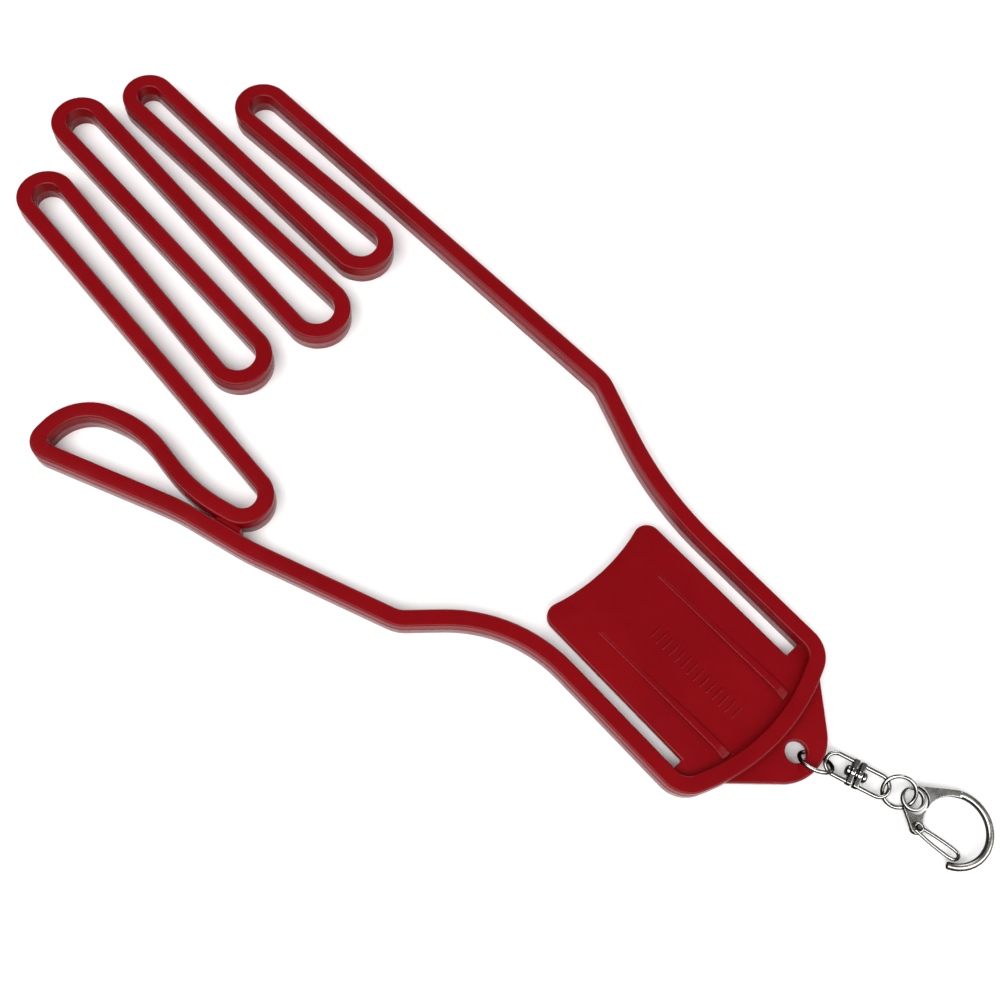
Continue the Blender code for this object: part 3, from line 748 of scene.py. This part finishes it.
class Nodes:
    """Short names for building one material's nodes."""

    def __init__(self, name):
        self.material = bpy.data.materials.new(name)
        self.material.use_nodes = True
        self.tree = self.material.node_tree
        self.shader = self.tree.nodes["Principled BSDF"]
        coordinates = self.add("ShaderNodeTexCoord")
        self.place = coordinates.outputs["Object"]
        self.normal = coordinates.outputs["Normal"]

    def add(self, kind, **settings):
        node = self.tree.nodes.new(kind)
        for key, value in settings.items():
            setattr(node, key, value)
        return node

    def link(self, source, target):
        self.tree.links.new(source, target)

    def noise(self, scale, detail=2.0, roughness=0.5, stretch=None, turn=(0, 0, 0)):
        node = self.add("ShaderNodeTexNoise")
        node.inputs["Scale"].default_value = scale
        node.inputs["Detail"].default_value = detail
        node.inputs["Roughness"].default_value = roughness
        place = self.place
        if stretch:
            mapping = self.add("ShaderNodeMapping")
            mapping.inputs["Scale"].default_value = stretch
            mapping.inputs["Rotation"].default_value = turn
            self.link(place, mapping.inputs["Vector"])
            place = mapping.outputs["Vector"]
        self.link(place, node.inputs["Vector"])
        return node.outputs["Fac"]

    def ramp(self, value, stops):
        node = self.add("ShaderNodeValToRGB")
        elements = node.color_ramp.elements
        while len(elements) < len(stops):
            elements.new(0.5)
        for element, (position, colour) in zip(elements, stops):
            element.position = position
            element.color = (*colour, 1.0)
        self.link(value, node.inputs["Fac"])
        return node.outputs["Color"]

    def remap(self, value, low, high, to_low, to_high):
        node = self.add("ShaderNodeMapRange")
        limits = {"From Min": low, "From Max": high, "To Min": to_low, "To Max": to_high}
        for key, number in limits.items():
            node.inputs[key].default_value = number
        self.link(value, node.inputs["Value"])
        return node.outputs["Result"]

    def add_values(self, first, second):
        node = self.add("ShaderNodeMath", operation="ADD")
        self.link(first, node.inputs[0])
        self.link(second, node.inputs[1])
        return node.outputs["Value"]

    def mix(self, amount, first, second):
        node = self.add("ShaderNodeMix", data_type="RGBA")
        self.link(amount, node.inputs["Factor"])
        self.link(first, node.inputs["A"])
        if isinstance(second, tuple):
            node.inputs["B"].default_value = (*second, 1.0)
        else:
            self.link(second, node.inputs["B"])
        return node.outputs["Result"]

    def bump(self, value, distance, strength, after=None):
        node = self.add("ShaderNodeBump")
        node.inputs["Distance"].default_value = distance
        node.inputs["Strength"].default_value = strength
        self.link(value, node.inputs["Height"])
        if after:
            self.link(after, node.inputs["Normal"])
        return node.outputs["Normal"]

    def facing_up(self):
        """How far the surface faces straight up or down, from 0 to 1."""
        split = self.add("ShaderNodeSeparateXYZ")
        self.link(self.normal, split.inputs["Vector"])
        node = self.add("ShaderNodeMath", operation="ABSOLUTE")
        self.link(split.outputs["Z"], node.inputs[0])
        return node.outputs["Value"]

    def specks(self, scale, size, share):
        """One where a small dot lies, in a share of the cells."""
        cells = self.add("ShaderNodeTexVoronoi")
        cells.inputs["Scale"].default_value = scale
        self.link(self.place, cells.inputs["Vector"])
        dot = self.remap(cells.outputs["Distance"], size, size * 0.5, 0.0, 1.0)
        chosen = self.remap(cells.outputs["Color"], share + 0.01, share, 0.0, 1.0)
        node = self.add("ShaderNodeMath", operation="MULTIPLY")
        self.link(dot, node.inputs[0])
        self.link(chosen, node.inputs[1])
        return node.outputs["Value"]


def red_plastic():
    """Glossy moulded plastic: slightly uneven red, soft sink marks, hair scratches and dust."""
    n = Nodes("red_plastic")
    tone = n.noise(70, 3)
    colour = n.ramp(tone, [(0.3, (0.155, 0.0016, 0.0034)), (0.7, (0.180, 0.0022, 0.0044))])
    mottle = n.noise(900, 2)
    colour = n.mix(n.remap(mottle, 0.35, 0.75, 0.0, 0.15), colour, (0.13, 0.0012, 0.0028))
    dust = n.specks(420, 0.13, 0.07)
    colour = n.mix(n.remap(dust, 0, 1, 0.0, 0.22), colour, (0.45, 0.10, 0.11))
    n.link(colour, n.shader.inputs["Base Color"])
    scratches = n.noise(1.0, 4, 0.6, stretch=(5200, 180, 900), turn=(0, 0, 0.5))
    lines = n.remap(scratches, 0.62, 0.72, 0.0, 0.04)
    gloss = n.remap(n.noise(160, 3), 0.3, 0.7, 0.18, 0.25)
    n.link(n.add_values(gloss, lines), n.shader.inputs["Roughness"])
    sink = n.bump(n.noise(85, 1), 0.0012, 0.06)
    peel = n.bump(n.noise(1500, 2), 0.00003, 0.10, sink)
    n.link(n.bump(lines, 0.00001, 0.2, peel), n.shader.inputs["Normal"])
    n.shader.inputs["IOR"].default_value = 1.45
    n.shader.inputs["Specular IOR Level"].default_value = 0.2
    return n.material


def nickel(name, gloss_low, gloss_high):
    """Nickel plate: faces left at the plate's tone, sides painted darker as painted dark reflection
    and painted shade, with fine scratches and pits.
    """
    n = Nodes(name)
    patches = n.noise(260, 3)
    nickel_tone = n.ramp(patches, [(0.3, (0.50, 0.48, 0.45)), (0.7, (0.74, 0.72, 0.69))])
    # Painted dark reflection and painted shade: surfaces that face sideways get a near-black colour
    # whatever the light.
    upright = n.facing_up()
    side = n.remap(upright, 0.72, 0.96, 1.0, 0.0)
    colour = n.mix(side, nickel_tone, (0.045, 0.042, 0.039))
    pits = n.specks(1800, 0.22, 0.14)
    colour = n.mix(n.remap(pits, 0, 1, 0.0, 0.45), colour, (0.12, 0.11, 0.10))
    n.link(colour, n.shader.inputs["Base Color"])
    n.shader.inputs["Metallic"].default_value = 1.0
    n.shader.inputs["Specular Tint"].default_value = (0.35, 0.34, 0.33, 1.0)
    scratches = n.noise(1.0, 5, 0.6, stretch=(9000, 700, 3000), turn=(0.3, 0.2, 0.9))
    lines = n.remap(scratches, 0.58, 0.72, 0.0, 0.10)
    gloss = n.remap(patches, 0.3, 0.7, gloss_low, gloss_high)
    n.link(n.add_values(gloss, lines), n.shader.inputs["Roughness"])
    waves = n.bump(n.noise(700, 2), 0.00006, 0.25)
    n.link(n.bump(lines, 0.00002, 0.4, waves), n.shader.inputs["Normal"])
    return n.material


def floor_material():
    n = Nodes("pale_floor")
    colour = n.ramp(n.noise(6, 2), [(0.3, (0.90, 0.90, 0.90)), (0.7, (0.92, 0.92, 0.92))])
    n.link(colour, n.shader.inputs["Base Color"])
    n.shader.inputs["Roughness"].default_value = 0.8
    n.shader.inputs["Specular IOR Level"].default_value = 0.1
    return n.material


# ---------------------------------------------------------------- studio

def add_floor():
    far = FLOOR_HALF
    outline = [(-far, -far), (far, -far), (far, far), (-far, far)]
    floor = new_object("floor", prism(outline, -FLOOR_DEPTH, 0.0))
    floor.data.materials.append(floor_material())


def add_light(name, position, target, size, power):
    lamp = bpy.data.lights.new(name, "AREA")
    lamp.shape = "RECTANGLE"
    lamp.size = size[0]
    lamp.size_y = size[1]
    lamp.energy = power
    item = bpy.data.objects.new(name, lamp)
    item.location = position
    item.rotation_euler = (Vector(target) - Vector(position)).to_track_quat("-Z", "Y").to_euler()
    bpy.context.scene.collection.objects.link(item)


def add_lights():
    for name, position, size, power in SOFTBOXES:
        add_light(name, position, LIGHTS_AIM, size, power)
    world = bpy.data.worlds.new("studio")
    world.use_nodes = True
    background = world.node_tree.nodes["Background"]
    background.inputs["Color"].default_value = (1.0, 1.0, 1.0, 1.0)
    background.inputs["Strength"].default_value = WORLD_STRENGTH
    bpy.context.scene.world = world
    bpy.context.scene.view_settings.view_transform = "Standard"


def add_camera():
    forward = CAMERA_FORWARD.normalized()
    right = (CAMERA_RIGHT - forward * CAMERA_RIGHT.dot(forward)).normalized()
    up = right.cross(forward)
    turn = Matrix((right, up, -forward)).transposed()
    camera = bpy.data.cameras.new("camera")
    camera.sensor_width = CAMERA_SENSOR
    camera.lens = CAMERA_LENS
    camera.clip_start = CAMERA_CLIP_START
    item = bpy.data.objects.new("camera", camera)
    item.matrix_world = Matrix.Translation(CAMERA_PLACE) @ turn.to_4x4()
    bpy.context.scene.collection.objects.link(item)
    bpy.context.scene.camera = item


# ---------------------------------------------------------------- assembly

def finish_piece(piece, material, slot_name, *nodes):
    piece.data.materials.clear()
    piece.data.materials.append(material)
    if nodes:
        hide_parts(*nodes)


def main():
    plastic = red_plastic()
    wire = nickel("nickel_wire", 0.12, 0.22)
    cast = nickel("nickel_cast", 0.20, 0.34)

    hand = make_hand()
    finish_piece(hand, plastic, "plastic", "hand_frame")
    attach(hand, "hand")

    sheet = make_clip_sheet()
    finish_piece(sheet, plastic, "plastic", "clip_tongue")
    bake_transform(sheet)

    tab_ring = make_ring("tab_jump_ring", TAB_RING, TAB_RING_CUT)
    finish_piece(tab_ring, wire, "nickel", "tab_ring")
    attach(tab_ring, "tab_ring")

    near_link = make_link("swivel_near_link", NEAR_LOOP, NEAR_BAR, -1)
    finish_piece(near_link, wire, "nickel", "swivel_link_tab_side")
    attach(near_link, "swivel_near")

    rivet = make_rivet()
    finish_piece(rivet, wire, "nickel", "swivel_rivet")
    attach(rivet, "swivel_near")

    far_link = make_link("swivel_far_link", FAR_LOOP, FAR_BAR, 1)
    finish_piece(far_link, wire, "nickel", "swivel_link_hook_side")
    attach(far_link, "swivel_far")

    hook_ring = make_ring("hook_jump_ring", HOOK_RING, HOOK_RING_CUT)
    finish_piece(hook_ring, wire, "nickel", "hook_ring")
    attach(hook_ring, "hook_ring")

    hook = make_hook()
    finish_piece(hook, cast, "nickel", "hook_body")
    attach(hook, "hook")

    post = make_gate_post()
    finish_piece(post, wire, "nickel")
    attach(post, "hook")

    gate = make_gate()
    finish_piece(gate, wire, "nickel", "hook_gate")
    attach(gate, "gate")

    add_floor()
    add_lights()
    add_camera()


main()
